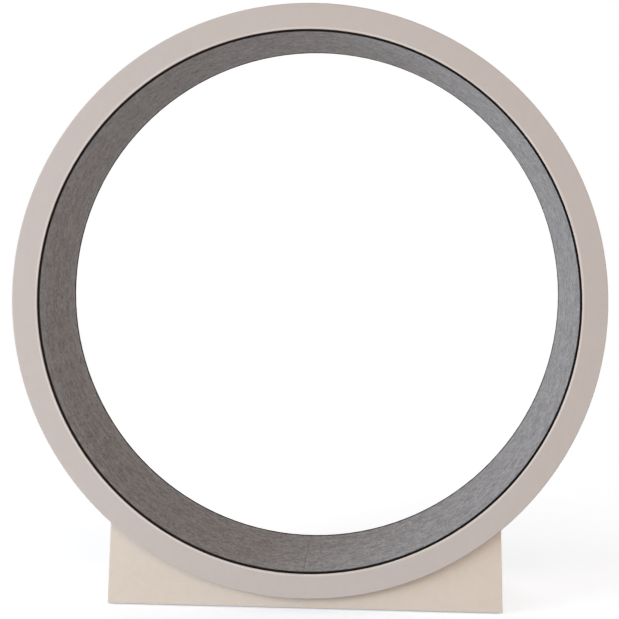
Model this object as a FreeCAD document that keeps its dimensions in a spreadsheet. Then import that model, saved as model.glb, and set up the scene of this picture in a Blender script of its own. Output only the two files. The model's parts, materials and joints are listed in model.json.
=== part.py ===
import FreeCAD, Part
import math
import os

import Sketcher
from FreeCAD import Placement, Rotation, Vector

# A free-standing exercise wheel, in millimetres. The wheel's axis lies along Y and the front faces -Y.
# The origin is on the floor, under the middle of the wheel.
#
# The wheel is two annular side boards joined by a bent skin that carries the carpet. The boards reach
# out past the skin, so they straddle a box base, in which four rollers bear on the skin's outside.

document = FreeCAD.newDocument("ExerciseWheel")
sheet = document.addObject("Spreadsheet::Sheet", "Sizes")

DRIVING_SIZES = [
    # wheel
    ("wheel_diameter", 1000),
    ("wheel_depth", 300),
    ("floor_gap", 22),            # from the floor to the lowest point of the wheel
    ("ring_width", 43),           # radial width of a side ring's face
    ("ring_board", 15),
    ("ring_edge_round", 2),
    ("ring_inner_round", 2),
    ("skin_thickness", 6),
    ("skin_seat", 6),             # how far the skin's edge sits in a side ring
    ("seam_gap", 0.6),
    ("carpet_thickness", 3),
    ("trim_thickness", 3.3),
    ("trim_width", 7),
    ("trim_recess", 1.2),         # from the ring's face to the trim
    ("barb_thickness", 1.6),
    ("barb_depth", 6),
    ("barb_play", 0.1),
    ("splice_thickness", 2),
    ("splice_width", 110),
    ("splice_angle", 10),
    ("rivet_radius", 2),
    # base
    ("base_board", 15),
    ("base_depth", 262),
    ("base_bottom_width", 676),
    ("base_top_width", 664),
    ("base_top", 165),            # height of the base's corners above the floor
    ("base_edge_round", 1.5),
    ("arc_gap", 5),               # from the skin to the hollow in a panel's top edge
    ("foot_thickness", 2),
    ("foot_radius", 15),
    ("glide_radius", 9),
    ("glide_thickness", 3),
    ("beam_width", 66),
    # fittings
    ("dowel_radius", 4),
    ("dowel_length", 30),
    ("dowel_in_panel", 10),
    ("fitting_play", 0.05),
    ("cam_radius", 7.5),
    ("cam_depth", 12.5),
    ("cam_setback", 24),          # from a board's edge to the middle of its cam disc
    ("cam_thread_radius", 2.5),
    ("cam_thread_length", 11),
    ("cam_shank_radius", 3.4),
    ("cam_neck_radius", 2.0),
    ("cam_head_radius", 2.6),
    ("cam_slot_width", 6),
    # rollers
    ("roller_radius", 25),
    ("roller_width", 26),
    ("tyre_round", 2),
    ("roller_angle", 30),         # from straight down, as seen from the wheel's axis
    ("roller_offset", 85),        # from the wheel's middle to the middle of a roller
    ("running_gap", 0.3),
    ("hub_radius", 19),
    ("hub_bore_radius", 9),
    ("axle_radius", 4),
    ("axle_play", 0.03),
    ("bearing_radius", 11),
    ("bearing_width", 7),
    ("ball_radius", 1.9),
    ("ball_circle_radius", 7.5),
    ("raceway_radius", 2.2),
    ("shield_thickness", 0.3),
    ("side_gap", 2),              # from a roller to a bracket's cheek
    ("cheek_thickness", 2.5),
    ("cheek_top_radius", 13),
    ("cheek_foot_width", 50),
    ("plate_width", 58),
    ("plate_drop", 29.5),         # from the axle to the top of a bracket's plate
    ("plate_thickness", 2.5),
    ("plate_hole_radius", 2.5),
    ("washer_radius", 8),
    ("washer_thickness", 1.6),
    ("hex_across_flats", 13),
    ("bolt_head_height", 5.3),
    ("nut_height", 8),
    ("screw_radius", 2.2),
]


class Size:
    """A length worked out from the sheet: its value, and the expression that gives it."""

    def __init__(self, value, text):
        self.value = value
        self.text = text

    def __add__(self, other):
        other = as_size(other)
        return Size(self.value + other.value, f"({self.text} + {other.text})")

    def __sub__(self, other):
        other = as_size(other)
        return Size(self.value - other.value, f"({self.text} - {other.text})")

    def __mul__(self, other):
        other = as_size(other)
        return Size(self.value * other.value, f"({self.text} * {other.text})")

    def __truediv__(self, other):
        other = as_size(other)
        return Size(self.value / other.value, f"({self.text} / {other.text})")

    def __neg__(self):
        return self * -1

    __radd__ = __add__
    __rmul__ = __mul__


def as_size(number):
    return number if isinstance(number, Size) else Size(float(number), f"{float(number)}")


def cosine(degrees):
    return Size(math.cos(math.radians(degrees.value)), f"cos({degrees.text})")


def sine(degrees):
    return Size(math.sin(math.radians(degrees.value)), f"sin({degrees.text})")


size = {}
for row, (alias, value) in enumerate(DRIVING_SIZES, start=1):
    sheet.set(f"A{row}", alias)
    sheet.set(f"B{row}", f"{value}")
    sheet.setAlias(f"B{row}", alias)
    size[alias] = Size(float(value), f"Sizes.{alias}")
document.recompute()

# ---- sizes worked out from the driving ones ----

ring_outer = size["wheel_diameter"] / 2
ring_inner = ring_outer - size["ring_width"]
axis_height = ring_outer + size["floor_gap"]
half_depth = size["wheel_depth"] / 2
board_back = half_depth - size["ring_board"]
skin_outer = ring_inner + size["skin_thickness"]
carpet_inner = ring_inner - size["carpet_thickness"]
trim_inner = ring_inner - size["trim_thickness"]

board = size["base_board"]
base_half_depth = size["base_depth"] / 2
bay_half_depth = base_half_depth - board
base_bottom = size["foot_thickness"]
base_top = size["base_top"]
bottom_half = size["base_bottom_width"] / 2
top_half = size["base_top_width"] / 2
splay = (bottom_half - top_half) / (base_top - base_bottom)
floor_top = base_bottom + board

roller_circle = skin_outer + size["running_gap"] + size["roller_radius"]
roller_x = roller_circle * sine(size["roller_angle"])
roller_z = axis_height - roller_circle * cosine(size["roller_angle"])
half_roller = size["roller_width"] / 2
cheek_inside = half_roller + size["side_gap"]
cheek_outside = cheek_inside + size["cheek_thickness"]
plate_bottom = size["plate_drop"] + size["plate_thickness"]

ALONG_Y = Rotation(Vector(1, 0, 0), -90)      # turns a Z axis onto Y
UPRIGHT = Rotation()
HALF_TURN = Rotation(Vector(0, 0, 1), 180)
DOWN = Rotation(Vector(1, 0, 0), -90)         # turns a piece that points along Y so that it points down
UP = Rotation(Vector(1, 0, 0), 90)
SIDES = [("left", -1), ("right", 1)]
ENDS = [("front", -1), ("rear", 1)]

nodes = []


# ---- how the pieces are drawn ----

def bind(thing, **sizes):
    """Sets an object's properties to expressions over the sheet."""
    for name, length in sizes.items():
        thing.setExpression(name, as_size(length).text)
    return thing


def place(thing, x=0, y=0, z=0, rotation=UPRIGHT):
    """Puts an object at a point that follows the sheet."""
    spot = [as_size(x), as_size(y), as_size(z)]
    thing.Placement = Placement(Vector(*[length.value for length in spot]), rotation)
    for letter, length in zip("xyz", spot):
        thing.setExpression(f"Placement.Base.{letter}", length.text)
    return thing


def keep(label, thing):
    """Names an object as one of the object's separate pieces."""
    thing.Label = label
    nodes.append(thing)
    return thing


def new_body(name):
    return document.addObject("PartDesign::Body", name)


def new_sketch(body, plane):
    sketch = body.newObject("Sketcher::SketchObject", "Sketch")
    origin_plane = [part for part in body.Origin.OriginFeatures if part.Role == plane][0]
    sketch.AttachmentSupport = [(origin_plane, "")]
    sketch.MapMode = "FlatFace"
    return sketch


def hold(sketch, kind, item, corner, length):
    """Ties one coordinate of a sketch point to an expression."""
    number = sketch.addConstraint(Sketcher.Constraint(kind, -1, 1, item, corner, length.value))
    sketch.setExpression(f"Constraints[{number}]", length.text)


def outline(body, plane, corners):
    """A closed shape with straight sides, every corner tied to the sheet."""
    sketch = new_sketch(body, plane)
    corners = [(as_size(across), as_size(up)) for across, up in corners]
    points = [Vector(across.value, up.value, 0) for across, up in corners]
    count = len(points)
    for item in range(count):
        sketch.addGeometry(Part.LineSegment(points[item], points[(item + 1) % count]))
    for item in range(count):
        sketch.addConstraint(Sketcher.Constraint("Coincident", item, 2, (item + 1) % count, 1))
    for item, (across, up) in enumerate(corners):
        hold(sketch, "DistanceX", item, 1, across)
        hold(sketch, "DistanceY", item, 1, up)
    return sketch


def circles(body, plane, centres, radius):
    """Circles of one radius, at centres tied to the sheet."""
    sketch = new_sketch(body, plane)
    for item, (across, up) in enumerate(centres):
        across, up = as_size(across), as_size(up)
        middle = Vector(across.value, up.value, 0)
        sketch.addGeometry(Part.Circle(middle, Vector(0, 0, 1), radius.value))
        hold(sketch, "DistanceX", item, 3, across)
        hold(sketch, "DistanceY", item, 3, up)
        number = sketch.addConstraint(Sketcher.Constraint("Radius", item, radius.value))
        sketch.setExpression(f"Constraints[{number}]", radius.text)
    return sketch


def pad(body, sketch, length):
    """Thickens a sketch evenly to both sides of its plane."""
    feature = body.newObject("PartDesign::Pad", "Pad")
    feature.Profile = sketch
    feature.SideType = "Symmetric"
    bind(feature, Length=length)
    return feature


def cut_out(body, sketch, length=None):
    """Cuts a sketch out of a body, evenly to both sides of its plane, or all the way through."""
    feature = body.newObject("PartDesign::Pocket", "Pocket")
    feature.Profile = sketch
    feature.SideType = "Symmetric"
    if length is None:
        feature.Type = "ThroughAll"
    else:
        bind(feature, Length=length)
    return feature


def turned(name, section, angle=None):
    """A body turned about Y. The section's points are (radius, place along Y)."""
    body = new_body(name)
    feature = body.newObject("PartDesign::Revolution", "Turned")
    feature.Profile = outline(body, "XY_Plane", section)
    feature.ReferenceAxis = (feature.Profile[0], ["V_Axis"])
    if angle is None:
        feature.Angle = 360
    else:
        feature.Midplane = True
        bind(feature, Angle=angle)
    return body


def round_edges(body, radius, chosen):
    """Rounds the edges of a body's newest feature that the chosen function picks."""
    document.recompute()
    newest = body.Tip
    names = [f"Edge{i}" for i, edge in enumerate(newest.Shape.Edges, start=1) if chosen(edge)]
    feature = body.newObject("PartDesign::Fillet", "Rounding")
    feature.Base = (newest, names)
    bind(feature, Radius=radius)
    return feature


def at_radius(radius, along=None):
    """Picks the round edges of a turned piece that lie at a radius and, if given, at a place along Y."""
    def chosen(edge):
        if not hasattr(edge.Curve, "Radius") or abs(edge.Curve.Radius - radius.value) > 1e-6:
            return False
        return along is None or abs(edge.Curve.Center.y - along.value) < 1e-6
    return chosen


def cylinder(name, radius, length):
    return bind(document.addObject("Part::Cylinder", name), Radius=radius, Height=length)


def less(name, base, tool):
    """The base with the tool taken away."""
    result = document.addObject("Part::Cut", name)
    result.Base = base
    result.Tool = tool
    return result


def joined(name, pieces):
    result = document.addObject("Part::MultiFuse", name)
    result.Shapes = pieces
    return result


def group(name, pieces):
    """Separate solids kept together as one piece of the list."""
    result = document.addObject("Part::Compound", name)
    result.Links = pieces
    return result


def copies(master, spots):
    """Links to one drawn piece, each at its own place."""
    links = []
    for spot in spots:
        link = document.addObject("App::Link", f"{master.Name}_copy")
        link.LinkedObject = master
        link.Placement = spot
        links.append(link)
    return links


# ---- wheel: side rings, skin, carpet and edge trims ----
# Sections are drawn for the front half of the wheel, and the rear one is the front one turned round.

barb_middle = half_depth - (size["ring_board"] - size["skin_seat"]) / 2
slot_half = size["barb_thickness"] / 2 + size["barb_play"]


def side_ring(label, rotation):
    """An annular board. The skin's edge sits in its rebate, and the trim's barb in its slot."""
    skin_end = board_back + size["skin_seat"]
    slot_bottom = ring_inner + size["barb_depth"] + size["barb_play"]
    body = turned(label, [
        (ring_inner, -half_depth),
        (ring_outer, -half_depth),
        (ring_outer, -board_back),
        (skin_outer, -board_back),
        (skin_outer, -skin_end),
        (ring_inner, -skin_end),
        (ring_inner, -(barb_middle - slot_half)),
        (slot_bottom, -(barb_middle - slot_half)),
        (slot_bottom, -(barb_middle + slot_half)),
        (ring_inner, -(barb_middle + slot_half)),
    ])
    round_edges(body, size["ring_edge_round"], at_radius(ring_outer))
    round_edges(body, size["ring_inner_round"], at_radius(ring_inner, -half_depth))
    return keep(label, place(body, z=axis_height, rotation=rotation))


def edge_trim(label, rotation):
    """A rubber strip that covers the ring's inner edge, held by a barb in the ring's slot."""
    face = half_depth - size["trim_recess"]
    barb_half = size["barb_thickness"] / 2
    body = turned(label, [
        (trim_inner, -face),
        (ring_inner, -face),
        (ring_inner, -(barb_middle + barb_half)),
        (ring_inner + size["barb_depth"], -(barb_middle + barb_half)),
        (ring_inner + size["barb_depth"], -(barb_middle - barb_half)),
        (ring_inner, -(barb_middle - barb_half)),
        (ring_inner, -(half_depth - size["trim_width"])),
        (trim_inner, -(half_depth - size["trim_width"])),
    ])
    round_edges(body, size["trim_thickness"] / 4, at_radius(trim_inner))
    return keep(label, place(body, z=axis_height, rotation=rotation))


for end, rotation in (("front", UPRIGHT), ("rear", HALF_TURN)):
    side_ring(f"{end}_side_ring", rotation)
    edge_trim(f"{end}_edge_trim", rotation)

carpet_half = half_depth - size["trim_width"]
carpet = turned("carpet_liner", [
    (carpet_inner, -carpet_half),
    (ring_inner, -carpet_half),
    (ring_inner, carpet_half),
    (carpet_inner, carpet_half),
])
keep("carpet_liner", place(carpet, z=axis_height))

# The skin's ends meet in a butt joint at the bottom, under a riveted plate.

RIVET_COLUMNS = [-0.25, 0.25]                 # as shares of the plate's angle
RIVET_ROWS = [-0.375, -0.125, 0.125, 0.375]   # as shares of the plate's width
RIVET_SINK = 1.4
RIVET_HEAD_RADIUS = 3.4
RIVET_HEAD_HEIGHT = 1.3


def rivet(name, play):
    """A rivet along Y, its countersunk head at y = 0 and its pressed head outside the plate."""
    shank = size["rivet_radius"] + play
    outside = size["skin_thickness"] + size["splice_thickness"]
    return turned(name, [
        (0, 0.1),
        (RIVET_HEAD_RADIUS + play, 0.1),
        (shank, RIVET_SINK + play),
        (shank, outside),
        (size["rivet_radius"] * 2, outside),
        (size["rivet_radius"] * 1.4, outside + RIVET_HEAD_HEIGHT),
        (0, outside + RIVET_HEAD_HEIGHT),
    ])


def rivet_spots():
    for column in RIVET_COLUMNS:
        angle = math.radians(column * size["splice_angle"].value)
        outwards = Vector(math.sin(angle), 0, -math.cos(angle))
        for share in RIVET_ROWS:
            spot = outwards * ring_inner.value
            spot += Vector(0, share * size["splice_width"].value, axis_height.value)
            yield Placement(spot, Rotation(Vector(0, 1, 0), outwards))


rivets = copies(rivet("rivet", as_size(0)), rivet_spots())
rivet_bores = copies(rivet("rivet_bore", size["fitting_play"]), rivet_spots())
keep("splice_rivets", group("splice_rivets", rivets))

skin_half = board_back + size["skin_seat"]
skin_ring = place(turned("skin_ring", [
    (ring_inner, -skin_half),
    (skin_outer, -skin_half),
    (skin_outer, skin_half),
    (ring_inner, skin_half),
]), z=axis_height)
seam_height = size["skin_thickness"] * 4
seam = bind(document.addObject("Part::Box", "seam"), Length=size["seam_gap"],
            Width=size["wheel_depth"], Height=seam_height)
place(seam, -(size["seam_gap"] / 2), -half_depth, axis_height - skin_outer - seam_height / 4)
keep("drum_skin", less("drum_skin", skin_ring, joined("skin_cuts", [seam] + rivet_bores)))

splice_half = size["splice_width"] / 2
splice_outer = skin_outer + size["splice_thickness"]
splice_strip = place(turned("splice_strip", [
    (skin_outer, -splice_half),
    (splice_outer, -splice_half),
    (splice_outer, splice_half),
    (skin_outer, splice_half),
], angle=size["splice_angle"]), z=axis_height, rotation=Rotation(Vector(0, 1, 0), 90))
splice_bores = joined("splice_bores", rivet_bores)
keep("skin_splice_plate", less("skin_splice_plate", splice_strip, splice_bores))

# ---- base: two panels, two end boards and a floor board, held by dowels and cam fittings ----

CAM_HEIGHTS = [40, 130]
CAM_SINK = 0.3                                # a cam disc's face lies this far below the board's
DOWEL_HEIGHT = 85
FLOOR_DOWELS_X = [-240, -80, 80, 240]
END_DOWELS_Y = [-70, 70]
floor_middle = base_bottom + board / 2


def end_middle(height):
    """Half the distance between the two end boards' middles, at a height."""
    return bottom_half - splay * (as_size(height) - base_bottom) - board / 2


def base_panel(label, end_sign):
    """A panel with splayed ends. The hollow in its top edge follows the wheel's skin."""
    blank = new_body(f"{label}_blank")
    shape = outline(blank, "XZ_Plane", [
        (-bottom_half, base_bottom),
        (bottom_half, base_bottom),
        (top_half, base_top),
        (-top_half, base_top),
    ])
    pad(blank, shape, board)
    cut_out(blank, circles(blank, "XZ_Plane", [(0, axis_height)], skin_outer + size["arc_gap"]))
    outer_face = -board.value / 2
    round_edges(blank, size["base_edge_round"], lambda edge: abs(edge.BoundBox.YMax - outer_face) < 1e-6)
    rotation = UPRIGHT if end_sign < 0 else HALF_TURN
    return place(blank, y=(base_half_depth - board / 2) * end_sign, rotation=rotation)


def end_board(label, side):
    """A board between the panels, leaning out a little towards the floor."""
    blank = new_body(f"{label}_blank")
    shape = outline(blank, "XZ_Plane", [
        ((bottom_half - board) * side, base_bottom),
        (bottom_half * side, base_bottom),
        (top_half * side, base_top),
        ((top_half - board) * side, base_top),
    ])
    pad(blank, shape, bay_half_depth * 2)
    return blank


def floor_blank():
    """The board at the bottom of the box, its ends cut to the end boards' lean."""
    blank = new_body("floor_blank")
    shape = outline(blank, "XZ_Plane", [
        (-(bottom_half - board), base_bottom),
        (bottom_half - board, base_bottom),
        (bottom_half - board - splay * board, floor_top),
        (-(bottom_half - board - splay * board), floor_top),
    ])
    pad(blank, shape, bay_half_depth * 2)
    return blank


def dowel(name, play):
    """A dowel along Y from its middle, with chamfered ends."""
    radius = size["dowel_radius"] + play
    half = size["dowel_length"] / 2 + play
    chamfer = radius / 4
    return turned(name, [
        (0, -half),
        (radius - chamfer, -half),
        (radius, chamfer - half),
        (radius, half - chamfer),
        (radius - chamfer, half),
        (0, half),
    ])


def dowel_spots():
    """Across the joints of the panels with the end boards and floor, and of the floor with the ends."""
    set_in = size["dowel_length"].value / 2 - size["dowel_in_panel"].value
    for _, end in ENDS:
        y = (bay_half_depth.value - set_in) * end
        for _, side in SIDES:
            x = end_middle(DOWEL_HEIGHT).value * side
            yield Placement(Vector(x, y, DOWEL_HEIGHT), UPRIGHT)
        for x in FLOOR_DOWELS_X:
            yield Placement(Vector(x, y, floor_middle.value), UPRIGHT)
    for _, side in SIDES:
        x = (bottom_half.value - board.value - set_in) * side
        for y in END_DOWELS_Y:
            yield Placement(Vector(x, y, floor_middle.value), Rotation(Vector(0, 0, 1), 90))


dowels = copies(dowel("dowel", as_size(0)), dowel_spots())
dowel_bores = copies(dowel("dowel_bore", size["fitting_play"]), dowel_spots())
keep("panel_dowels", group("panel_dowels", dowels))


def cam_bolt():
    """A bolt along Y: thread in the panel at -Y, and a necked head in the cam disc."""
    head_end = size["cam_setback"] + size["cam_neck_radius"]
    neck_start = size["cam_setback"] - size["cam_radius"] - 0.3
    return turned("cam_bolt", [
        (0, -size["cam_thread_length"]),
        (size["cam_thread_radius"], -size["cam_thread_length"]),
        (size["cam_thread_radius"], 0),
        (size["cam_shank_radius"], 0),
        (size["cam_shank_radius"], neck_start),
        (size["cam_neck_radius"], neck_start),
        (size["cam_neck_radius"], head_end - 3),
        (size["cam_head_radius"], head_end - 2),
        (size["cam_head_radius"], head_end),
        (0, head_end),
    ])


def cam_bolt_bore():
    """The stepped hole for a cam bolt: narrow in the panel, wide in the end board."""
    play = size["fitting_play"]
    return turned("cam_bolt_bore", [
        (0, -(size["cam_thread_length"] + play)),
        (size["cam_thread_radius"] + play, -(size["cam_thread_length"] + play)),
        (size["cam_thread_radius"] + play, 0),
        (size["dowel_radius"], 0),
        (size["dowel_radius"], size["cam_setback"]),
        (0, size["cam_setback"]),
    ])


def cam_disc():
    """A disc along Y from its outer face, slotted for the bolt's head, with a driver slot."""
    radius = size["cam_radius"] - size["fitting_play"] * 2
    depth = size["cam_depth"] - CAM_SINK * 2
    disc = place(cylinder("cam_blank", radius, depth), rotation=ALONG_Y)
    slot = bind(document.addObject("Part::Box", "cam_slot"), Length=size["cam_radius"] * 2,
                Width=size["cam_slot_width"], Height=size["cam_slot_width"])
    reach = size["cam_slot_width"] / 2
    place(slot, -(size["cam_neck_radius"] + 1), board / 2 - CAM_SINK - reach, -reach)
    driver = bind(document.addObject("Part::Box", "driver_slot"), Length=radius, Width=2, Height=1.6)
    place(driver, -(radius / 2), -0.5, -0.8)
    return less("cam_disc", disc, joined("cam_cuts", [slot, driver]))


def joint_spots(set_back=0.0):
    """The cam joints of the panels with the end boards: the side, the end, and a point near the joint."""
    for _, end in ENDS:
        for _, side in SIDES:
            for height in CAM_HEIGHTS:
                x = end_middle(height).value * side
                y = (bay_half_depth.value - set_back) * end
                yield side, end, Vector(x, y, height)


def cam_bolt_spots():
    """A bolt points inwards, from the panel towards the middle of the base."""
    for _, end, point in joint_spots():
        yield Placement(point, UPRIGHT if end < 0 else HALF_TURN)


def cam_disc_spots():
    """A disc goes into an end board's inner face, its slot towards the panel."""
    set_back = size["cam_setback"].value
    for side, end, point in joint_spots(set_back):
        face = point - Vector(side * (board.value / 2 - CAM_SINK), 0, 0)
        into_board = Vector(side, 0, 0)
        towards_panel = Vector(0, end, 0)
        yield Placement(face, Rotation(towards_panel, into_board, Vector(), "XYZ"))


cam_bolts = copies(cam_bolt(), cam_bolt_spots())
cam_discs = copies(cam_disc(), cam_disc_spots())
cam_bolt_bores = copies(cam_bolt_bore(), cam_bolt_spots())
cam_pocket = turned("cam_pocket", [
    (0, -1),
    (size["cam_radius"], -1),
    (size["cam_radius"], size["cam_depth"] - CAM_SINK),
    (0, size["cam_depth"] - CAM_SINK),
])
cam_pockets = copies(cam_pocket, cam_disc_spots())
keep("cam_bolts", group("cam_bolts", cam_bolts))
keep("cam_discs", group("cam_discs", cam_discs))

# ---- roller beams, brackets and their screws ----
# A roller station's own frame has its origin on the roller's axle, Z towards the wheel's axis, and Y
# towards the nut of its axle bolt.

BEAM_SCREWS_X = [-18, 18]
BEAM_SCREWS_Y = [-60, 60]
BEAM_SCREW_LENGTH = 40
BRACKET_SCREW_LENGTH = 22
bracket_hole_x = size["plate_width"] / 2 - 7
bracket_hole_y = size["plate_width"] / 2 - 5.5
beam_x = roller_x + plate_bottom * sine(size["roller_angle"])
beam_z = roller_z - plate_bottom * cosine(size["roller_angle"])


def station(side, end):
    """Where a roller sits, and how its bracket leans."""
    lean = Rotation(Vector(0, 1, 0), -side * size["roller_angle"].value)
    spin = UPRIGHT if end < 0 else HALF_TURN
    y = size["roller_offset"].value * end
    return Placement(Vector(roller_x.value * side, y, roller_z.value), lean * spin)


def every_station(inner=Placement()):
    """The four roller stations, or a place in each station's own frame."""
    for _, end in ENDS:
        for _, side in SIDES:
            yield station(side, end) * inner


def bracket_screw_spots():
    for across in (-1, 1):
        for along in (-1, 1):
            point = Vector(bracket_hole_x.value * across, bracket_hole_y.value * along,
                           -size["plate_drop"].value)
            yield from every_station(Placement(point, DOWN))


def beam_screw_spots():
    for _, side in SIDES:
        for x in BEAM_SCREWS_X:
            for y in BEAM_SCREWS_Y:
                yield Placement(Vector((beam_x.value + x) * side, y, base_bottom.value), UP)


def screw(name, head, length, play=0.0):
    """A screw along Y from under its head, with a drilled-point tip. The head's points come first."""
    shank = size["screw_radius"] + play
    return turned(name, head + [
        (shank, head[-1][1]),
        (shank, length - 3),
        (0.3, length + play),
        (0, length + play),
    ])


pan_head = [(0, -2.6), (2.4, -2.6), (4, -1.4), (4, 0)]
sunk_head = [(0, 0.2), (4.6, 0.2), (4.6, 0.6), (2.4, 2.8)]
sunk_bore = [(0, -1), (4.7, -1), (4.7, 0.7), (2.5, 2.9)]
bracket_screws = copies(screw("bracket_screw", pan_head, BRACKET_SCREW_LENGTH), bracket_screw_spots())
beam_screws = copies(screw("beam_screw", sunk_head, BEAM_SCREW_LENGTH), beam_screw_spots())
drill_play = size["fitting_play"].value
pilot_bores = copies(screw("pilot_bore", [(0, -1), (3, -1)], BRACKET_SCREW_LENGTH, drill_play),
                     bracket_screw_spots())
beam_bores = copies(screw("beam_bore", sunk_bore, BEAM_SCREW_LENGTH, drill_play), beam_screw_spots())
keep("bracket_screws", group("bracket_screws", bracket_screws))
keep("beam_screws", group("beam_screws", beam_screws))


def roller_beam(label, side):
    """A timber wedge whose top faces the wheel's axis."""
    half = size["beam_width"] / 2
    rise = half * sine(size["roller_angle"]) / cosine(size["roller_angle"])
    blank = new_body(f"{label}_blank")
    shape = outline(blank, "XZ_Plane", [
        ((beam_x - half) * side, floor_top),
        ((beam_x + half) * side, floor_top),
        ((beam_x + half) * side, beam_z + rise),
        ((beam_x - half) * side, beam_z - rise),
    ])
    pad(blank, shape, bay_half_depth * 2)
    return blank


def bracket(label, side, end):
    """A fork: two cheeks that carry the axle, on a plate with four screw holes."""
    body = new_body(label)
    top = size["cheek_top_radius"]
    cheek_width = cheek_outside * 2
    pad(body, outline(body, "XZ_Plane", [
        (-(size["cheek_foot_width"] / 2), -size["plate_drop"]),
        (size["cheek_foot_width"] / 2, -size["plate_drop"]),
        (top, 0),
        (-top, 0),
    ]), cheek_width)
    pad(body, circles(body, "XZ_Plane", [(0, 0)], top), cheek_width)
    reach = size["plate_width"]
    cut_out(body, outline(body, "XZ_Plane", [
        (-reach, -size["plate_drop"]),
        (reach, -size["plate_drop"]),
        (reach, reach),
        (-reach, reach),
    ]), cheek_inside * 2)
    plate_half = size["plate_width"] / 2
    pad(body, outline(body, "XZ_Plane", [
        (-plate_half, -plate_bottom),
        (plate_half, -plate_bottom),
        (plate_half, -size["plate_drop"]),
        (-plate_half, -size["plate_drop"]),
    ]), size["plate_width"])
    cut_out(body, circles(body, "XZ_Plane", [(0, 0)], size["axle_radius"] + size["fitting_play"]))
    holes = [(bracket_hole_x * across, bracket_hole_y * along) for across in (-1, 1) for along in (-1, 1)]
    cut_out(body, circles(body, "XY_Plane", holes, size["plate_hole_radius"]))
    body.Placement = station(side, end)
    return keep(label, body)


for end, end_sign in ENDS:
    for side, side_sign in SIDES:
        bracket(f"{end}_{side}_bracket", side_sign, end_sign)

base_bores = joined("base_bores", dowel_bores + cam_bolt_bores + cam_pockets + pilot_bores + beam_bores)
for end, end_sign in ENDS:
    label = f"base_{end}_panel"
    keep(label, less(label, base_panel(label, end_sign), base_bores))
for side, side_sign in SIDES:
    label = f"base_{side}_end"
    keep(label, less(label, end_board(label, side_sign), base_bores))
    label = f"{side}_roller_beam"
    keep(label, less(label, roller_beam(label, side_sign), base_bores))
keep("base_floor_board", less("base_floor_board", floor_blank(), base_bores))

# ---- pads: under the floor board, and between the panels and the side rings ----

FOOT_SPOTS = [(-295, -95), (295, -95), (-295, 95), (295, 95)]
GLIDE_ANGLES = [-36, 0, 36]                   # from straight down, as seen from the wheel's axis

foot_radius = size["foot_radius"]
foot = turned("foot", [
    (0, 0),
    (foot_radius, 0),
    (foot_radius, size["foot_thickness"] - 0.5),
    (foot_radius - 0.5, size["foot_thickness"]),
    (0, size["foot_thickness"]),
])
foot_spots = [Placement(Vector(x, y, base_bottom.value), DOWN) for x, y in FOOT_SPOTS]
keep("foot_pads", group("foot_pads", copies(foot, foot_spots)))

glide = turned("glide", [
    (0, 0),
    (size["glide_radius"], 0),
    (size["glide_radius"], size["glide_thickness"] - 1),
    (size["glide_radius"] - 1, size["glide_thickness"]),
    (0, size["glide_thickness"]),
])
glide_circle = (ring_outer.value + skin_outer.value + size["arc_gap"].value) / 2 - 2
glide_spots = []
for _, end in ENDS:
    for degrees in GLIDE_ANGLES:
        angle = math.radians(degrees)
        point = Vector(glide_circle * math.sin(angle), base_half_depth.value * end,
                       axis_height.value - glide_circle * math.cos(angle))
        glide_spots.append(Placement(point, HALF_TURN if end < 0 else UPRIGHT))
keep("glide_pads", group("glide_pads", copies(glide, glide_spots)))

# ---- rollers: a hub and tyre on two ball bearings, on an axle bolt between the bracket's cheeks ----

BALLS_PER_BEARING = 7
bearing_inside = half_roller - size["bearing_width"]
half_bearing = size["bearing_width"] / 2
race_outer = size["ball_circle_radius"] - size["ball_radius"] + 0.3
race_inner = size["ball_circle_radius"] + size["ball_radius"] - 0.2
axle = size["axle_radius"]
bearing_places = [Placement(Vector(0, (half_roller - half_bearing).value * way, 0), UPRIGHT)
                  for way in (-1, 1)]


def grooved(name, section):
    """A bearing ring with the ball groove cut in it, along Y about its middle."""
    groove = document.addObject("Part::Torus", f"{name}_groove")
    bind(groove, Radius1=size["ball_circle_radius"], Radius2=size["raceway_radius"])
    place(groove, rotation=ALONG_Y)
    return less(name, turned(f"{name}_blank", section), groove)


inner_race = grooved("inner_race", [
    (axle, -half_bearing),
    (race_outer, -half_bearing),
    (race_outer, half_bearing),
    (axle, half_bearing),
])
shield_inside = half_bearing - size["shield_thickness"]
outer_race = grooved("outer_race", [
    (race_outer + 0.4, -half_bearing),
    (size["bearing_radius"], -half_bearing),
    (size["bearing_radius"], half_bearing),
    (race_outer + 0.4, half_bearing),
    (race_outer + 0.4, shield_inside),
    (race_inner, shield_inside),
    (race_inner, -shield_inside),
    (race_outer + 0.4, -shield_inside),
])
ball = bind(document.addObject("Part::Sphere", "ball"), Radius=size["ball_radius"])


def ball_places(bearing):
    """The balls of one bearing, evenly round the axle."""
    for number in range(BALLS_PER_BEARING):
        angle = 2 * math.pi * number / BALLS_PER_BEARING
        point = Vector(math.cos(angle), 0, math.sin(angle)) * size["ball_circle_radius"].value
        yield bearing * Placement(point, UPRIGHT)


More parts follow.
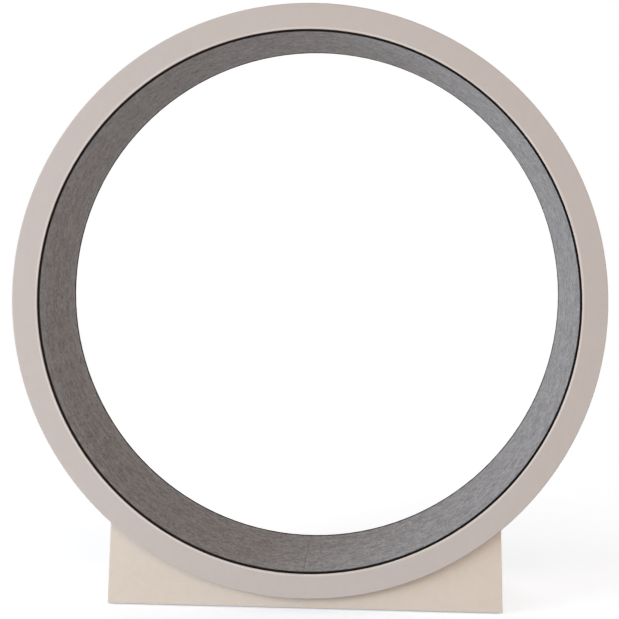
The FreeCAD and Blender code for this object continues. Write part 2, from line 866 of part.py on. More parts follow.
def roller(name, side, end):
    """The four pieces of a roller that turn together."""
    spot = station(side, end)
    hub = turned(f"{name}_hub", [
        (size["bearing_radius"], -half_roller),
        (size["hub_radius"], -half_roller),
        (size["hub_radius"], half_roller),
        (size["bearing_radius"], half_roller),
        (size["bearing_radius"], bearing_inside),
        (size["hub_bore_radius"], bearing_inside),
        (size["hub_bore_radius"], -bearing_inside),
        (size["bearing_radius"], -bearing_inside),
    ])
    tyre = turned(f"{name}_tyre", [
        (size["hub_radius"], -half_roller),
        (size["roller_radius"], -half_roller),
        (size["roller_radius"], half_roller),
        (size["hub_radius"], half_roller),
    ])
    round_edges(tyre, size["tyre_round"], at_radius(size["roller_radius"]))
    outer_races = copies(outer_race, [spot * bearing for bearing in bearing_places])
    balls = copies(ball, [spot * place_ for bearing in bearing_places for place_ in ball_places(bearing)])
    for piece in (hub, tyre):
        piece.Placement = spot
    keep(f"{name}_roller_hub", hub)
    keep(f"{name}_roller_tyre", tyre)
    keep(f"{name}_bearing_outers", group(f"{name}_bearing_outers", outer_races))
    keep(f"{name}_bearing_balls", group(f"{name}_bearing_balls", balls))


for end, end_sign in ENDS:
    for side, side_sign in SIDES:
        roller(f"{end}_{side}", side_sign, end_sign)


def tube(name, inner, outer, length):
    """A plain ring along Y about its middle."""
    half = length / 2
    return turned(name, [(inner, -half), (outer, -half), (outer, half), (inner, half)])


def hexagon(name, height):
    """A hexagonal prism along Y, its corners rounded off like a bolt's."""
    prism = bind(document.addObject("Part::Prism", f"{name}_prism"), Height=height,
                 Circumradius=size["hex_across_flats"] / 2 / cosine(as_size(30)))
    place(prism, rotation=ALONG_Y)
    flat = size["hex_across_flats"] / 2
    dome = turned(f"{name}_dome", [(0, 0), (flat * 0.95, 0), (flat * 1.2, 1.5), (flat * 1.2, height),
                                   (0, height)])
    common = document.addObject("Part::Common", name)
    common.Base = prism
    common.Tool = dome
    return common


def axle_bolt():
    """A hexagon bolt whose head bears on the outer washer, at the station's -Y."""
    seat = cheek_outside + size["washer_thickness"]
    end = seat + size["nut_height"] + 2
    radius = axle - size["axle_play"]
    shank = turned("axle_shank", [(0, -seat), (radius, -seat), (radius, end - 1), (radius - 1, end), (0, end)])
    head = hexagon("axle_head", size["bolt_head_height"])
    return joined("axle_bolt", [place(head, y=-(seat + size["bolt_head_height"])), shank])


def axle_nut():
    """A lock nut, its rounded side away from the cheek."""
    seat = cheek_outside + size["washer_thickness"]
    blank = hexagon("nut_blank", size["nut_height"])
    place(blank, y=seat + size["nut_height"], rotation=Rotation(Vector(0, 0, 1), 180))
    bore = cylinder("nut_bore", axle, size["nut_height"] * 4)
    return less("axle_nut", blank, place(bore, rotation=ALONG_Y))


def both_ways(distance):
    return [Placement(Vector(0, distance.value * way, 0), UPRIGHT) for way in (-1, 1)]


def at_stations(piece, places):
    """Copies of a piece at the same places in every roller station."""
    return copies(piece, [spot for inner in places for spot in every_station(inner)])


middle = [Placement()]
washer = tube("washer", axle + 0.2, size["washer_radius"], size["washer_thickness"])
spacer = tube("spacer", axle, race_outer, size["side_gap"])
spacer_tube = tube("spacer_tube", axle, race_outer, bearing_inside * 2)
washer_place = cheek_outside + size["washer_thickness"] / 2
spacer_place = half_roller + size["side_gap"] / 2
keep("axle_bolts", group("axle_bolts", at_stations(axle_bolt(), middle)))
keep("axle_nuts", group("axle_nuts", at_stations(axle_nut(), middle)))
keep("axle_washers", group("axle_washers", at_stations(washer, both_ways(washer_place))))
keep("side_spacers", group("side_spacers", at_stations(spacer, both_ways(spacer_place))))
keep("inner_spacer_tubes", group("inner_spacer_tubes", at_stations(spacer_tube, middle)))
keep("bearing_inner_rings", group("bearing_inner_rings", at_stations(inner_race, bearing_places)))

# ---- check and write ----

document.recompute()
for thing in document.Objects:
    if "Invalid" in thing.State or "Error" in thing.State:
        raise RuntimeError(f"{thing.Label} failed: {thing.State}")
for thing in nodes:
    if thing.Shape.isNull() or not thing.Shape.isValid() or not thing.Shape.Solids:
        raise RuntimeError(f"{thing.Label} has no valid shape")

# A cut whose tool misses the piece changes nothing, so the drilled boards are weighed against their blanks.
for thing in nodes:
    if thing.TypeId == "Part::Cut" and not thing.Shape.Volume < thing.Base.Shape.Volume - 1:
        raise RuntimeError(f"{thing.Label} was not cut")

os.makedirs("parts", exist_ok=True)
for thing in nodes:
    thing.Shape.exportStep(f"parts/{thing.Label}.step")
    print(f"{thing.Label}: {len(thing.Shape.Solids)} solid(s), {thing.Shape.Volume / 1000:.1f} cm3")
print(f"{len(nodes)} pieces")
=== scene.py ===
import json
import math

import bpy
from mathutils import Matrix, Vector, noise


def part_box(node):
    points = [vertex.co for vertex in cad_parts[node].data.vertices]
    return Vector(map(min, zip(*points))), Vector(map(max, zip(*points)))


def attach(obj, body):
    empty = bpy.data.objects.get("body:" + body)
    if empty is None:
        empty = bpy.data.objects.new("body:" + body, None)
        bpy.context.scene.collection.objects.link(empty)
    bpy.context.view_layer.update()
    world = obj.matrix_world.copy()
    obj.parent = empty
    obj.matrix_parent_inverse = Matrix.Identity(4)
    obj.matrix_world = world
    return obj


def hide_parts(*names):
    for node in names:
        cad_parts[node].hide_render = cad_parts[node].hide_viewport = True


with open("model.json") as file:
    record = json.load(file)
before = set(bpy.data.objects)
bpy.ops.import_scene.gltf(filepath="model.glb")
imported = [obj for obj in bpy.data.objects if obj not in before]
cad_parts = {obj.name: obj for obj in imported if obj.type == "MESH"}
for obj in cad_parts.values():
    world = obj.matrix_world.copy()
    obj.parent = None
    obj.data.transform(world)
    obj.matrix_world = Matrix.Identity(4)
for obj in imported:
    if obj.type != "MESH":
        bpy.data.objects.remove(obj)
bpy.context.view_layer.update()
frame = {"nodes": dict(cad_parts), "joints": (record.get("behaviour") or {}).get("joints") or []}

nodes = frame["nodes"]
axle_height = frame["joints"][0]["pos_m"][2]


# ---- Side rings ----
# Two flat rings sawn from 15 mm board, one at each face of the wheel, and sprayed with a satin paint of a
# slightly pink off-white. A paler band round the inner edge is a painted highlight, where the rounded edge
# catches light, and the glide pads on the base leave a faint polished track on the faces towards it.

RING_PAINT = (0.519, 0.487, 0.476, 1)
RING_POLISHED = (0.44, 0.41, 0.40, 1)
# Painted highlight: a paler band round the rings' inner edge, standing in for the light its rounding
# catches.
RING_RIM_HIGHLIGHT = (0.72, 0.675, 0.655, 1)
PAINT_ROUGHNESS = (0.42, 0.54)
POLISHED_ROUGHNESS = 0.26
RIM_HIGHLIGHT_ROUGHNESS = 0.45
PEEL_DEPTH = 0.00004
NOISE_MIDDLE = (0.3, 0.7)
EDGE_WIDTH = 0.0022
EDGE_TURN = (0.998, 0.85)
RIM_HALF = 0.0032
PAD_RADIUS = 0.009


def add(tree, kind, inputs=None, **settings):
    """A shader node. Each input is given a value, or the output socket that feeds it."""
    node = tree.nodes.new(kind)
    for name, value in settings.items():
        setattr(node, name, value)
    for name, value in (inputs or {}).items():
        if isinstance(value, bpy.types.NodeSocket):
            tree.links.new(value, node.inputs[name])
        else:
            node.inputs[name].default_value = value
    return node


def maths(tree, operation, first, second=0.0):
    """Arithmetic on values."""
    return add(tree, "ShaderNodeMath", {0: first, 1: second}, operation=operation).outputs[0]


def vectors(tree, operation, first, second):
    """Arithmetic on vectors and colours. Which output holds the result depends on the operation."""
    return add(tree, "ShaderNodeVectorMath", {0: first, 1: second}, operation=operation).outputs


def ranged(tree, value, low, high, to_low=0.0, to_high=1.0):
    """The value's stretch from low to high, spread over another stretch and held at its ends."""
    return add(tree, "ShaderNodeMapRange", {
        "Value": value, "From Min": low, "From Max": high, "To Min": to_low, "To Max": to_high,
    }).outputs[0]


def blended(tree, share, first, second):
    """One colour turning into another."""
    return add(tree, "ShaderNodeMix", {0: share, 6: first, 7: second}, data_type="RGBA").outputs[2]


def own_place(tree):
    """The piece's own coordinates, which turn with it."""
    return add(tree, "ShaderNodeTexCoord").outputs["Object"]


def speckle(tree, place, scale, detail=2.0, roughness=0.5):
    """Cloudy noise, with patches about one over the scale wide."""
    return add(tree, "ShaderNodeTexNoise", {
        "Vector": place, "Scale": scale, "Detail": detail, "Roughness": roughness,
    }).outputs["Fac"]


def streaks(tree, place, scales, detail=2.0):
    """Noise with a scale of its own along each axis, drawn out along the smallest."""
    return speckle(tree, vectors(tree, "MULTIPLY", place, scales)[0], 1.0, detail)


def new_group(name, inputs, outputs):
    """A shader node group: its tree, the sockets to read from and the sockets to feed."""
    tree = bpy.data.node_groups.new(name, "ShaderNodeTree")
    for label, kind, value in inputs:
        socket = tree.interface.new_socket(label, in_out="INPUT", socket_type=f"NodeSocket{kind}")
        socket.default_value = value
    for label, kind in outputs:
        tree.interface.new_socket(label, in_out="OUTPUT", socket_type=f"NodeSocket{kind}")
    return tree, tree.nodes.new("NodeGroupInput").outputs, tree.nodes.new("NodeGroupOutput").inputs


def placed(tree, group, **values):
    """Sets a group into a material with that material's own values, and gives its outputs."""
    inputs = {name.capitalize(): value for name, value in values.items()}
    return add(tree, "ShaderNodeGroup", inputs, node_tree=group).outputs


def new_material(name, **constants):
    """A material with one shader, whose constant values are given by their names."""
    material = bpy.data.materials.new(name)
    material.use_nodes = True
    shader = material.node_tree.nodes["Principled BSDF"]
    for label, value in constants.items():
        shader.inputs[label.replace("_", " ")].default_value = value
    return material, material.node_tree, shader


def feed(tree, shader, colour, roughness, height, depth):
    """Links a material's colour and roughness, and its relief, whose full height is a depth in metres."""
    tree.links.new(colour, shader.inputs["Base Color"])
    tree.links.new(roughness, shader.inputs["Roughness"])
    bump = add(tree, "ShaderNodeBump", {"Distance": depth, "Height": height})
    tree.links.new(bump.outputs["Normal"], shader.inputs["Normal"])


def finish(material, *names):
    """Gives a material to pieces of the frame."""
    for name in names:
        nodes[name].data.materials.clear()
        nodes[name].data.materials.append(material)


def toned(colour, gain):
    """A colour made darker or lighter."""
    return tuple(min(1.0, part * gain) for part in colour[:3]) + (1,)


def paint_film():
    """Sprayed paint: soft clouds and a fine mottle in its tone, and the dimples of an orange peel."""
    tree, given, result = new_group(
        "Paint film",
        [("Colour", "Color", (0.6, 0.6, 0.6, 1)), ("Spread", "Float", 0.03)],
        [("Colour", "Color"), ("Cloud", "Float"), ("Peel", "Float")],
    )
    place = own_place(tree)
    cloud = speckle(tree, place, scale=5, detail=4, roughness=0.6)
    mottle = speckle(tree, place, scale=110, detail=3, roughness=0.6)
    uneven = maths(tree, "ADD", ranged(tree, cloud, 0.25, 0.75, -1, 1),
                   ranged(tree, mottle, *NOISE_MIDDLE, -1, 1))
    gain = maths(tree, "ADD", maths(tree, "MULTIPLY", uneven, given["Spread"]), 1)
    scaled = add(tree, "ShaderNodeVectorMath", {0: given["Colour"], "Scale": gain}, operation="SCALE")
    tree.links.new(scaled.outputs[0], result["Colour"])
    tree.links.new(cloud, result["Cloud"])
    tree.links.new(speckle(tree, place, scale=700, roughness=0.4), result["Peel"])
    return tree


def edge_mask():
    """Finds outer edges, and breaks them up a little as handling does."""
    tree, given, result = new_group("Edge mask", [("Width", "Float", 0.002)], [("Mask", "Float")])
    rounded = add(tree, "ShaderNodeBevel", {"Radius": given["Width"]}, samples=4).outputs[0]
    actual = add(tree, "ShaderNodeNewGeometry").outputs["Normal"]
    turn = vectors(tree, "DOT_PRODUCT", rounded, actual)["Value"]
    handling = speckle(tree, own_place(tree), scale=60, detail=4, roughness=0.7)
    patchy = ranged(tree, handling, 0.3, 0.6, 0.35, 1)
    tree.links.new(maths(tree, "MULTIPLY", ranged(tree, turn, *EDGE_TURN), patchy), result["Mask"])
    return tree


def wheel_place():
    """Where a point of the wheel is: along its circle and across it, with its distance from the axle."""
    tree, given, result = new_group(
        "Wheel place",
        [("Radius", "Float", 0.46)],
        [("Along", "Vector"), ("Across", "Float"), ("Out", "Float")],
    )
    from_axle = vectors(tree, "SUBTRACT", own_place(tree), (0, 0, axle_height))[0]
    apart = add(tree, "ShaderNodeSeparateXYZ", {0: from_axle}).outputs
    angle = maths(tree, "ARCTAN2", apart["X"], apart["Z"])
    outwards = vectors(tree, "MULTIPLY", from_axle, (1, 0, 1))[0]
    out = add(tree, "ShaderNodeVectorMath", {0: outwards}, operation="LENGTH").outputs["Value"]
    along = add(tree, "ShaderNodeCombineXYZ", {
        "X": maths(tree, "MULTIPLY", angle, given["Radius"]), "Y": apart["Y"], "Z": out,
    })
    tree.links.new(along.outputs[0], result["Along"])
    tree.links.new(maths(tree, "ABSOLUTE", apart["Y"]), result["Across"])
    tree.links.new(out, result["Out"])
    return tree


def rubbed_band():
    """The track of something that runs on the wheel: a soft-edged band, broken up along its length."""
    tree, given, result = new_group(
        "Rubbed band",
        [("Along", "Vector", (0, 0, 0)), ("Place", "Float", 0), ("Middle", "Float", 0),
         ("Half", "Float", 0.01)],
        [("Mask", "Float")],
    )
    away = maths(tree, "ABSOLUTE", maths(tree, "SUBTRACT", given["Place"], given["Middle"]))
    band = ranged(tree, maths(tree, "DIVIDE", away, given["Half"]), 1.0, 0.7)
    scuffs = streaks(tree, given["Along"], scales=(5, 420, 420), detail=3)
    broken = ranged(tree, scuffs, 0.35, 0.65, 0.25, 1)
    tree.links.new(maths(tree, "MULTIPLY", band, broken), result["Mask"])
    return tree


PAINT_FILM = paint_film()
EDGE_MASK = edge_mask()
WHEEL_PLACE = wheel_place()
RUBBED_BAND = rubbed_band()


def painted(name, colour, spread=0.015, edge_gain=1.2, bands=()):
    """Satin paint with edges paled by wear and a painted highlight. A band gives a mask, and the colour and
    roughness under it.
    """
    material, tree, shader = new_material(name, IOR=1.47)
    film = placed(tree, PAINT_FILM, colour=colour, spread=spread)
    edge = placed(tree, EDGE_MASK, width=EDGE_WIDTH)["Mask"]
    # Paler edges: partly handling wear, partly a painted highlight where the rounded edges catch light.
    tone = blended(tree, edge, film["Colour"], toned(colour, edge_gain))
    roughness = ranged(tree, film["Cloud"], *NOISE_MIDDLE, *PAINT_ROUGHNESS)
    for mask_of, band_colour, band_roughness in bands:
        mask = mask_of(tree)
        tone = blended(tree, mask, tone, band_colour)
        roughness = ranged(tree, mask, 0, 1, roughness, band_roughness)
    feed(tree, shader, tone, roughness, height=film["Peel"], depth=PEEL_DEPTH)
    return material


def ring_circle(tree, middle, half):
    """A band round the wheel's axle on the rings' flat faces, its middle at a radius."""
    place = placed(tree, WHEEL_PLACE)
    return placed(tree, RUBBED_BAND, along=place["Along"], place=place["Out"], middle=middle,
                  half=half)["Mask"]


def pad_track(tree):
    """The circle that the glide pads touch, on the faces that look towards the base."""
    circle = ring_circle(tree, axle_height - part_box("glide_pads")[0].z - PAD_RADIUS, PAD_RADIUS)
    normal = add(tree, "ShaderNodeTexCoord").outputs["Normal"]
    facing = vectors(tree, "MULTIPLY", own_place(tree), normal)[0]
    inwards = maths(tree, "LESS_THAN", add(tree, "ShaderNodeSeparateXYZ", {0: facing}).outputs["Y"], 0)
    return maths(tree, "MULTIPLY", circle, inwards)


def highlight_rim(tree):
    """The band of painted highlight on the rings' inner edge, which starts where the carpet's outside does.
    """
    low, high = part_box("carpet_liner")
    return ring_circle(tree, (high.x - low.x) / 2 + RIM_HALF / 4, RIM_HALF)


# The first band is a painted highlight on the inner edge; the second is the pads' real polished track.
RING_BANDS = (
    (highlight_rim, RING_RIM_HIGHLIGHT, RIM_HIGHLIGHT_ROUGHNESS),
    (pad_track, RING_POLISHED, POLISHED_ROUGHNESS),
)

ring_paint = painted("ring_paint", RING_PAINT, bands=RING_BANDS)
finish(ring_paint, "front_side_ring", "rear_side_ring")


# ---- Drum skin ----
# A 6 mm bent sheet with a smooth off-white face, rolled into a drum whose edges sit in the side rings.
# Its ends butt together at the bottom. The four rollers leave two grey tracks on its outside.

SKIN_FACE = (0.60, 0.555, 0.525, 1)
SKIN_MARKED = (0.36, 0.34, 0.33, 1)


def roller_track(tree):
    """The tracks of the front and the rear rollers, as far from the middle as each other."""
    low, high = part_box("rear_left_roller_tyre")
    middle, half = (high.y + low.y) / 2, (high.y - low.y) / 2
    place = placed(tree, WHEEL_PLACE)
    return placed(tree, RUBBED_BAND, along=place["Along"], place=place["Across"], middle=middle,
                  half=half)["Mask"]


skin_face = painted("skin_board", SKIN_FACE, spread=0.025,
                    bands=((roller_track, SKIN_MARKED, POLISHED_ROUGHNESS),))
finish(skin_face, "drum_skin")


# ---- Glue beads ----
# A bead of filler run round the corner between the skin and each ring with a fingertip, and painted over
# with the ring. Its width wanders a little.

BEAD_WIDTH = 0.0024
BEAD_WANDER = 0.0012
BEAD_RIPPLE = 9
BEAD_SINK = 0.0001
BEAD_COLUMNS = 480
BEAD_STEPS = 5


def closed_band(columns, loop):
    """The faces of a band of closed loops of points, which closes on itself."""
    for column in range(columns):
        here, there = column * loop, (column + 1) % columns * loop
        for step in range(loop):
            ahead = (step + 1) % loop
            yield (here + step, there + step, there + ahead, here + ahead)


def wheel_piece(name, points, faces, material):
    """A smooth piece that rides on the wheel and takes its finish from one of the part's materials."""
    mesh = bpy.data.meshes.new(name)
    mesh.from_pydata(points, [], faces)
    mesh.polygons.foreach_set("use_smooth", [True] * len(faces))
    mesh.materials.append(material)
    piece = bpy.data.objects.new(name, mesh)
    bpy.context.scene.collection.objects.link(piece)
    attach(piece, "wheel")
    return piece


def glue_bead(end, outwards):
    """Its face is hollow, as a fingertip leaves it. Outwards is -1 at the front ring and 1 at the rear."""
    ring_low, ring_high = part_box(f"{end}_side_ring")
    corner = ring_high.y if outwards < 0 else ring_low.y
    skin_low, skin_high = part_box("drum_skin")
    skin_radius = (skin_high.x - skin_low.x) / 2
    points = []
    for column in range(BEAD_COLUMNS):
        angle = outwards * 2 * math.pi * column / BEAD_COLUMNS
        across, up = math.cos(angle), math.sin(angle)
        width = BEAD_WIDTH + BEAD_WANDER * noise.noise(Vector((across, outwards, up)) * BEAD_RIPPLE)
        section = [(-BEAD_SINK, -BEAD_SINK)]
        for step in range(BEAD_STEPS):
            turn = math.pi / 2 * step / (BEAD_STEPS - 1)
            section.append((width * (1 - math.sin(turn)), width * (1 - math.cos(turn))))
        for out, in_board in section:
            radius = skin_radius + out
            points.append((across * radius, corner - outwards * in_board, axle_height + up * radius))
    faces = list(closed_band(BEAD_COLUMNS, BEAD_STEPS + 1))
    wheel_piece(f"{end}_glue_bead", points, faces, ring_paint)


glue_bead("front", -1)
glue_bead("rear", 1)


# ---- Splice plate ----
# A strip of mill-finish aluminium across the skin's butt joint, bent to the drum and held by two rows of
# aluminium rivets.

ALUMINIUM = (0.56, 0.57, 0.58, 1)
METAL_DULLING = (0.72, 0.72, 0.73)


def metal_grain():
    """Rolled or plated metal: fine lines, and a bloom of slightly duller patches."""
    tree, given, result = new_group(
        "Metal grain",
        [("Colour", "Color", (0.6, 0.6, 0.6, 1)), ("Lines", "Vector", (900, 60, 900)),
         ("Bloom", "Float", 60)],
        [("Colour", "Color"), ("Grain", "Float"), ("Patches", "Float")],
    )
    place = own_place(tree)
    grain = streaks(tree, place, scales=given["Lines"], detail=3)
    cells = add(tree, "ShaderNodeTexVoronoi", {"Vector": place, "Scale": given["Bloom"]}).outputs["Color"]
    patches = add(tree, "ShaderNodeSeparateColor", {0: cells}).outputs[0]
    stain = ranged(tree, speckle(tree, place, scale=45, detail=3, roughness=0.6), 0.45, 0.75, 0, 0.5)
    dulled = vectors(tree, "MULTIPLY", given["Colour"], METAL_DULLING)[0]
    share = maths(tree, "ADD", stain, maths(tree, "MULTIPLY", patches, 0.25))
    tree.links.new(blended(tree, share, given["Colour"], dulled), result["Colour"])
    tree.links.new(grain, result["Grain"])
    tree.links.new(patches, result["Patches"])
    return tree


METAL_GRAIN = metal_grain()


def metal(name, colour, roughness, lines, bloom, depth):
    """Roughness runs from its first value to its second with the grain and the bloom."""
    material, tree, shader = new_material(name, Metallic=1.0)
    grain = placed(tree, METAL_GRAIN, colour=colour, lines=lines, bloom=bloom)
    uneven = maths(tree, "MULTIPLY", grain["Patches"], 0.3)
    uneven = maths(tree, "ADD", uneven, maths(tree, "MULTIPLY", grain["Grain"], 0.7))
    feed(tree, shader, grain["Colour"], ranged(tree, uneven, 0.25, 0.75, *roughness),
         height=grain["Grain"], depth=depth)
    return material


aluminium_sheet = metal("aluminium_sheet", ALUMINIUM, roughness=(0.24, 0.44), lines=(1800, 60, 1800),
                        bloom=25, depth=0.00002)
finish(aluminium_sheet, "skin_splice_plate", "splice_rivets")


# ---- Carpet ----
# Grey short-pile needled carpet, glued to the inside of the skin as one long strip whose ends butt at
# the bottom. The fibres are felted at random and mixed in tone, and the pile is pressed down at its edges.

CARPET_DARK = (0.150, 0.148, 0.156, 1)
CARPET_LIGHT = (0.406, 0.403, 0.424, 1)
CARPET_FLECK = (0.62, 0.61, 0.63, 1)
CARPET_ROUGHNESS = (0.85, 1.0)
CARPET_MOTTLE = 0.32
FELT_DEPTH = 0.0014
HAIR_DIRECTIONS = (6, 66, 121)
HAIR_SCALES = (90, 1500, 1500)
HAIR_WAVE = 0.008
HAIR_WAVE_SCALE = 90
HAIR_SHARE = 0.55
CARPET_RADIUS = 0.454
CARPET_THICKNESS = 0.003
CARPET_CLEARANCE = 0.0001
PILE_RELIEF = 0.0005
PILE_TUFTS = ((130, 0.7), (310, 0.5))
PILE_ROWS = 90
PILE_COLUMNS = 920
PRESSED_EDGE = ((0.0, 0.0011), (0.0007, 0.0006), (0.0016, 0.0002))
PRESSED_MARGIN = 0.003
SEAM_ANGLE = -math.pi / 2
SEAM_HALF = 0.0010
SEAM_DEPTH = 0.0006


def pile_rows(half):
    """Places across the strip, and how far the pile is pressed down at each."""
    flat = half - PRESSED_MARGIN
    rows = [(-half + along, sink) for along, sink in PRESSED_EDGE]
    rows += [(-flat + 2 * flat * row / (PILE_ROWS - 1), 0.0) for row in range(PILE_ROWS)]
    rows += [(half - along, sink) for along, sink in reversed(PRESSED_EDGE)]
    return rows


def pile_angles(radius):
    """Even steps round the wheel, with finer ones at the seam."""
    step = 2 * math.pi / PILE_COLUMNS
    fine = [share * SEAM_HALF / radius for share in (-1, -0.4, 0, 0.4, 1)]
    even = [step * column for column in range(1, PILE_COLUMNS)]
    return [SEAM_ANGLE + angle for angle in fine + even]


def carpet_strip(material):
    """The carpet as a closed band, whose inner face rises and falls with the pile."""
    low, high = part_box("carpet_liner")
    half = (high.y - low.y) / 2 - CARPET_CLEARANCE
    outer = (high.x - low.x) / 2 - CARPET_CLEARANCE
    inner = outer - CARPET_THICKNESS
    rows = pile_rows(half)
    angles = pile_angles(inner)
    points = []
    for angle in angles:
        across, up = math.cos(angle), math.sin(angle)
        from_seam = abs(math.remainder(angle - SEAM_ANGLE, 2 * math.pi)) * inner
        groove = SEAM_DEPTH * max(0.0, 1 - from_seam / SEAM_HALF)
        for y, sink in rows:
            spot = Vector((across * inner, y, up * inner))
            pile = sum(noise.noise(spot * scale) * share for scale, share in PILE_TUFTS)
            radius = inner + sink + groove + PILE_RELIEF * pile
            points.append((across * radius, y, axle_height + up * radius))
        points += [(across * outer, y, axle_height + up * outer) for y in (half, -half)]
    faces = list(closed_band(len(angles), len(rows) + 2))
    return wheel_piece("carpet_strip", points, faces, material)


def felted_pile():
    """Felted fibre: wavy hairs that cross at random over soft clumps, in mixed greys."""
    material, tree, shader = new_material("carpet", Sheen_Weight=0.12, Sheen_Roughness=0.6,
                                          Specular_IOR_Level=0.15)
    along = placed(tree, WHEEL_PLACE, radius=CARPET_RADIUS)["Along"]
    waves = add(tree, "ShaderNodeTexNoise", {"Vector": along, "Scale": HAIR_WAVE_SCALE, "Detail": 2})
    shift = vectors(tree, "MULTIPLY", waves.outputs["Color"], (HAIR_WAVE, HAIR_WAVE, 0))[0]
    wavy = vectors(tree, "ADD", along, shift)[0]
    hairs = []
    for degrees in HAIR_DIRECTIONS:
        turned = add(tree, "ShaderNodeVectorRotate", {"Vector": wavy, "Angle": math.radians(degrees)},
                     rotation_type="Z_AXIS").outputs[0]
        hairs.append(streaks(tree, turned, HAIR_SCALES, detail=1))
    top_hairs = maths(tree, "MAXIMUM", hairs[0], maths(tree, "MAXIMUM", hairs[1], hairs[2]))
    clump = speckle(tree, along, scale=150, detail=3, roughness=0.6)
    relief = add(tree, "ShaderNodeMix", {0: HAIR_SHARE, 2: clump, 3: top_hairs}).outputs[0]
    patches = speckle(tree, along, scale=48, detail=4, roughness=0.65)
    mottle = ranged(tree, patches, *NOISE_MIDDLE, -CARPET_MOTTLE, CARPET_MOTTLE)
    shade = maths(tree, "ADD", ranged(tree, relief, 0.445, 0.655), mottle)
    grey = blended(tree, shade, CARPET_DARK, CARPET_LIGHT)
    fleck = ranged(tree, hairs[1], 0.70, 0.78, 0, 0.5)
    feed(tree, shader, blended(tree, fleck, grey, CARPET_FLECK),
         ranged(tree, clump, *NOISE_MIDDLE, *CARPET_ROUGHNESS), height=relief, depth=FELT_DEPTH)
    return material


carpet = carpet_strip(felted_pile())
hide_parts("carpet_liner")


# ---- Edge trims ----
# A strip of black extruded rubber round the inner edge of each side ring. Its barb is pushed into a slot
# in the board, and its head covers the carpet's edge.

RUBBER_BLACK = (0.006, 0.005, 0.005, 1)
RUBBER_DUST = (0.09, 0.085, 0.08, 1)
RUBBER_GRAIN = 0.00004


def rubber(name, colour, roughness, shine, dusty):
    """Rubber or foam, a little dusty in patches."""
    material, tree, shader = new_material(name, Specular_IOR_Level=shine)
    place = own_place(tree)
    settled = ranged(tree, speckle(tree, place, scale=40, detail=4, roughness=0.65), 0.5, 0.8, 0, dusty)
    fine = speckle(tree, place, scale=520)
    feed(tree, shader, blended(tree, settled, colour, RUBBER_DUST),
         ranged(tree, fine, *NOISE_MIDDLE, *roughness), height=fine, depth=RUBBER_GRAIN)
    return material


edge_rubber = rubber("edge_rubber", RUBBER_BLACK, roughness=(0.65, 0.8), shine=0.12, dusty=0.1)
finish(edge_rubber, "front_edge_trim", "rear_edge_trim")


# ---- Base box ----
# Two panels, two end boards and a floor board, sprayed with a warmer and paler paint than the rings. The
# panels stand between the rings, and dowels and cam fittings hold the box together from inside.

BASE_PAINT = (0.656, 0.600, 0.540, 1)

base_paint = painted("base_paint", BASE_PAINT, spread=0.02, edge_gain=1.08)
finish(base_paint, "base_front_panel", "base_rear_panel", "base_left_end", "base_right_end",
       "base_floor_board")


# ---- Roller beams and dowels ----
# Two planed softwood wedges, screwed up through the floor board, whose slopes carry the roller brackets,
# and turned beech dowels across the joints of the box. Both are bare wood.

PINE = ((0.60, 0.42, 0.24, 1), (0.42, 0.24, 0.10, 1))
BEECH = ((0.58, 0.40, 0.25, 1), (0.46, 0.29, 0.17, 1))
WOOD_ROUGHNESS = (0.55, 0.75)
PORE_DEPTH = 0.0001
RING_TILT = 0.35
RING_WANDER = 6


def timber(name, tones, ring_spacing):
    """Bare wood along Y, its growth rings as wandering lines on its faces."""
    material, tree, shader = new_material(name)
    place = own_place(tree)
    apart = add(tree, "ShaderNodeSeparateXYZ", {0: place}).outputs
    across = maths(tree, "ADD", apart["Z"], maths(tree, "MULTIPLY", apart["X"], RING_TILT))
    wander = maths(tree, "MULTIPLY", streaks(tree, place, scales=(9, 1.5, 9)), RING_WANDER)
    rings = maths(tree, "FRACT", maths(tree, "ADD", maths(tree, "DIVIDE", across, ring_spacing), wander))
    late = maths(tree, "MULTIPLY", maths(tree, "POWER", rings, 3), 0.7)
    pores = streaks(tree, place, scales=(1400, 40, 1400))
    share = maths(tree, "ADD", late, ranged(tree, pores, 0.4, 0.8, 0, 0.3))
    feed(tree, shader, blended(tree, share, *tones),
         ranged(tree, pores, *NOISE_MIDDLE, *WOOD_ROUGHNESS), height=pores, depth=PORE_DEPTH)
    return material


finish(timber("bare_timber", PINE, ring_spacing=0.0032), "left_roller_beam", "right_roller_beam")
finish(timber("dowel_beech", BEECH, ring_spacing=0.0012), "panel_dowels")


# ---- Steel fittings ----
# The brackets are bent from sheet and screwed to the wedges. They, the axle bolts with their nuts, washers
# and spacers, the screws and the cam fittings are zinc plated. The bearings are of bare ground steel.

ZINC = (0.58, 0.59, 0.61, 1)
GROUND_STEEL = (0.62, 0.62, 0.63, 1)
STATIONS = [f"{end}_{side}" for end in ("front", "rear") for side in ("left", "right")]


def at_stations(piece):
    """The names of one kind of piece at the four rollers."""
    return [f"{station}_{piece}" for station in STATIONS]


bracket_steel = metal("bracket_steel", ZINC, roughness=(0.28, 0.50), lines=(900, 120, 900),
                      bloom=260, depth=0.00002)
zinc_steel = metal("zinc_steel", ZINC, roughness=(0.18, 0.34), lines=(300, 1500, 300),
                   bloom=400, depth=0.00002)
bearing_steel = metal("bearing_steel", GROUND_STEEL, roughness=(0.10, 0.20), lines=(2500, 300, 2500),
                      bloom=60, depth=0.000004)
finish(bracket_steel, *at_stations("bracket"))
finish(zinc_steel, "axle_bolts", "axle_nuts", "axle_washers", "side_spacers", "inner_spacer_tubes",
       "bracket_screws", "beam_screws", "cam_bolts", "cam_discs")
finish(bearing_steel, "bearing_inner_rings", *at_stations("bearing_outers"), *at_stations("bearing_balls"))


# ---- Rollers ----
# Each of the four has a moulded nylon hub, pressed on to two ball bearings, with a soft dark grey tyre
# moulded round it. It turns on its axle bolt between the arms of its bracket.

NYLON = (0.78, 0.76, 0.70, 1)
TYRE_GREY = (0.040, 0.040, 0.042, 1)
MOULD_GRAIN = 0.00003


